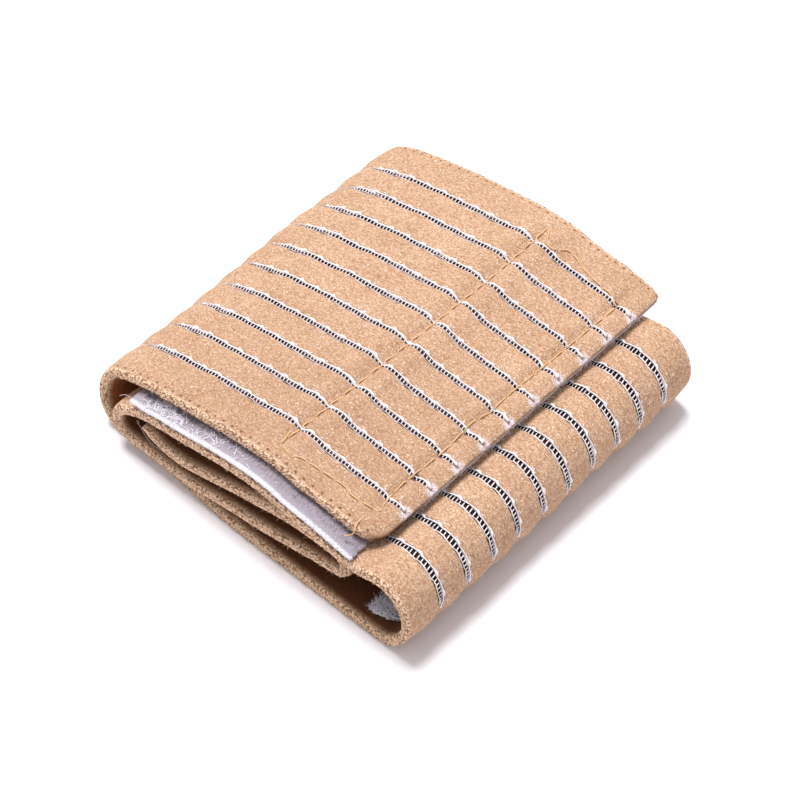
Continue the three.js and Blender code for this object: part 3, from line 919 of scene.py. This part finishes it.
def under_flap_end(chance, count):
    return np.stack((chance.uniform(-0.15, 0.5, count), chance.uniform(9, 74, count),
                     chance.uniform(-1.25, -0.8, count)), 1)


def on_tape(chance, count):
    return np.stack((52.0 - np.abs(chance.normal(0, 13, count)), chance.uniform(0.6, 3.4, count),
                     np.full(count, 0.42)), 1)


def on_fleece(chance, count):
    along = np.abs(chance.normal(0.5, 2.6, count))
    across = FLEECE_INSET + askew(along) + np.abs(chance.normal(0, 1.8, count)) - 0.2
    return np.stack((FLEECE_START + along, across, chance.uniform(-2.6, -2.2, count)), 1)


fuzz = yarn_finish("knit fuzz", (0.93, 0.78, 0.62), (0.70, 0.47, 0.28), 1.0)
lint = yarn_finish("white lint", (0.95, 0.93, 0.98), (0.75, 0.70, 0.80), 1.0)
for name, count, seed, place, lean, longest, thick, fold, finish, slot in (
        ("face_fuzz", 9000, 3, on_face, 1.15, 0.8, 0.035, band_fold, fuzz, "knit"),
        ("edge_fuzz", 3600, 5, on_edges, 1.3, 0.8, 0.035, band_fold, fuzz, "knit"),
        ("flap_fringe", 700, 7, under_flap_end, 1.5, 0.7, 0.035, band_fold, lint, "hook_tape"),
        ("tape_lint", 300, 11, on_tape, 1.35, 1.9, 0.055, hook_fold, lint, "hook_tape"),
        ("fleece_lint", 420, 9, on_fleece, 2.2, 1.7, 0.05, band_fold, lint, "fleece")):
    bm, shape = scattered(count, seed, place, lean, longest, thick)
    piece = lay_in_packet(bm, name, shape, fold, finish, smooth=False)


# The photograph's stand: a plain white floor, soft light from above and behind at the
# left, and the camera at the photograph's angle.
bm = bmesh.new()
bmesh.ops.create_grid(bm, x_segments=1, y_segments=1, size=3.0)
floor_mesh = bpy.data.meshes.new("floor")
bm.to_mesh(floor_mesh)
bm.free()
white = Finish("white floor", Base_Color=(0.85, 0.83, 0.875, 1), Roughness=0.9, Specular_IOR_Level=0.0)
floor_mesh.materials.append(white.material)
floor = bpy.data.objects.new("floor", floor_mesh)
bpy.context.scene.collection.objects.link(floor)

sun = bpy.data.lights.new("key", "SUN")
sun.energy, sun.angle = 4.1, math.radians(24)
sun_holder = bpy.data.objects.new("key", sun)
sun_holder.location = (-0.245, 0.10, 0.95)
sun_holder.rotation_euler = (-sun_holder.location).to_track_quat("-Z", "Y").to_euler()
bpy.context.scene.collection.objects.link(sun_holder)

world = bpy.data.worlds.new("studio")
world.use_nodes = True
world.node_tree.nodes["Background"].inputs["Color"].default_value = (1, 1, 1, 1)
world.node_tree.nodes["Background"].inputs["Strength"].default_value = 0.68
bpy.context.scene.world = world
bpy.context.scene.view_settings.view_transform = "Standard"

AZIMUTH, ELEVATION = math.radians(42.99), math.radians(49.5)
DISTANCE = 0.5015
AIM = Vector((-2.04, 3.50, 0))          # on the floor, in millimetres from the fold's origin
back_way = Vector((math.sin(AZIMUTH) * math.cos(ELEVATION), -math.cos(AZIMUTH) * math.cos(ELEVATION),
                   math.sin(ELEVATION)))
aim = (AIM + PLACE) * 0.001
aim.z = 0
camera_data = bpy.data.cameras.new("photograph")
camera_data.lens, camera_data.sensor_width = 126.4, 36.0
camera_data.clip_start = 0.01
camera = bpy.data.objects.new("photograph", camera_data)
camera.location = aim + back_way * DISTANCE
camera.rotation_euler = (-back_way).to_track_quat("-Z", "Y").to_euler()
bpy.context.scene.collection.objects.link(camera)
bpy.context.scene.camera = camera
